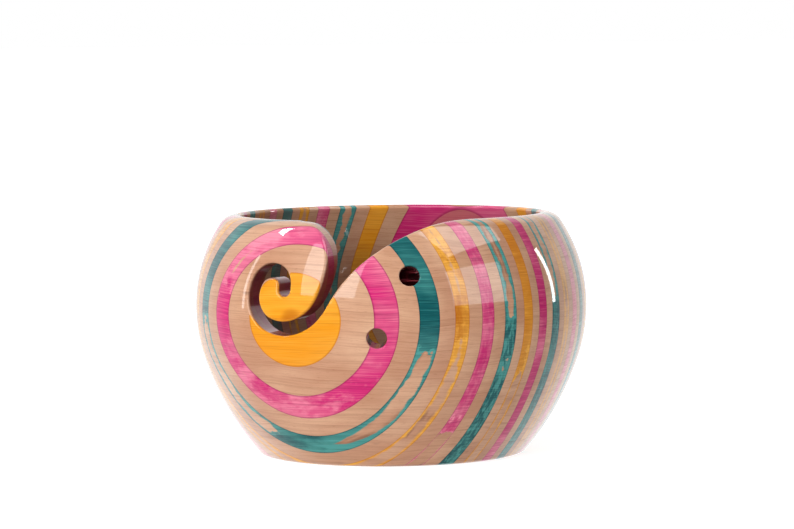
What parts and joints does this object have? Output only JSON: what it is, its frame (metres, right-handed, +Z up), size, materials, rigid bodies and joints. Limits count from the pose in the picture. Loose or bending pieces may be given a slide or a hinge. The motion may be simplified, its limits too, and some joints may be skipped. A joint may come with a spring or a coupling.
{
  "type": "yarn bowl",
  "caption": "Round turned wooden yarn bowl of glued dyed and plain laminae, with a spiral yarn guide cut through its front wall and holes for hooks.",
  "frame": {"origin": "centre of the flat base the bowl stands on", "axes": "+Z up; the laminae are stacked along Y with the orange cap and the yarn guide facing -Y; +X to the right seen from the front"},
  "size_m": [0.16, 0.16, 0.0979],
  "materials": {
    "beech": "plain beech veneer under clear gloss lacquer",
    "pink": "pink dyed beech under clear gloss lacquer",
    "teal": "teal dyed beech under clear gloss lacquer",
    "orange": "orange dyed beech under clear gloss lacquer"
  },
  "bodies": {
    "root": {"lamina_01_orange": "orange", "lamina_02_beech": "beech", "lamina_03_pink": "pink", "lamina_04_beech": "beech", "lamina_05_teal": "teal", "lamina_06_beech": "beech", "lamina_07_orange": "orange", "lamina_08_beech": "beech", "lamina_09_pink": "pink", "lamina_10_beech": "beech", "lamina_11_teal": "teal", "lamina_12_beech": "beech", "lamina_13_orange": "orange", "lamina_14_beech": "beech", "lamina_15_pink": "pink", "lamina_16_beech": "beech", "lamina_17_teal": "teal", "lamina_18_beech": "beech", "lamina_19_orange": "orange", "lamina_20_beech": "beech", "lamina_21_pink": "pink", "lamina_22_beech": "beech", "lamina_23_teal": "teal", "lamina_24_beech": "beech", "lamina_25_orange": "orange", "lamina_26_beech": "beech", "lamina_27_pink": "pink", "lamina_28_beech": "beech", "lamina_29_teal": "teal", "lamina_30_beech": "beech", "lamina_31_orange": "orange", "lamina_32_beech": "beech", "lamina_33_pink": "pink", "lamina_34_beech": "beech", "lamina_35_teal": "teal", "lamina_36_beech": "beech", "lamina_37_orange": "orange", "lamina_38_beech": "beech"}
  },
  "joints": []
}
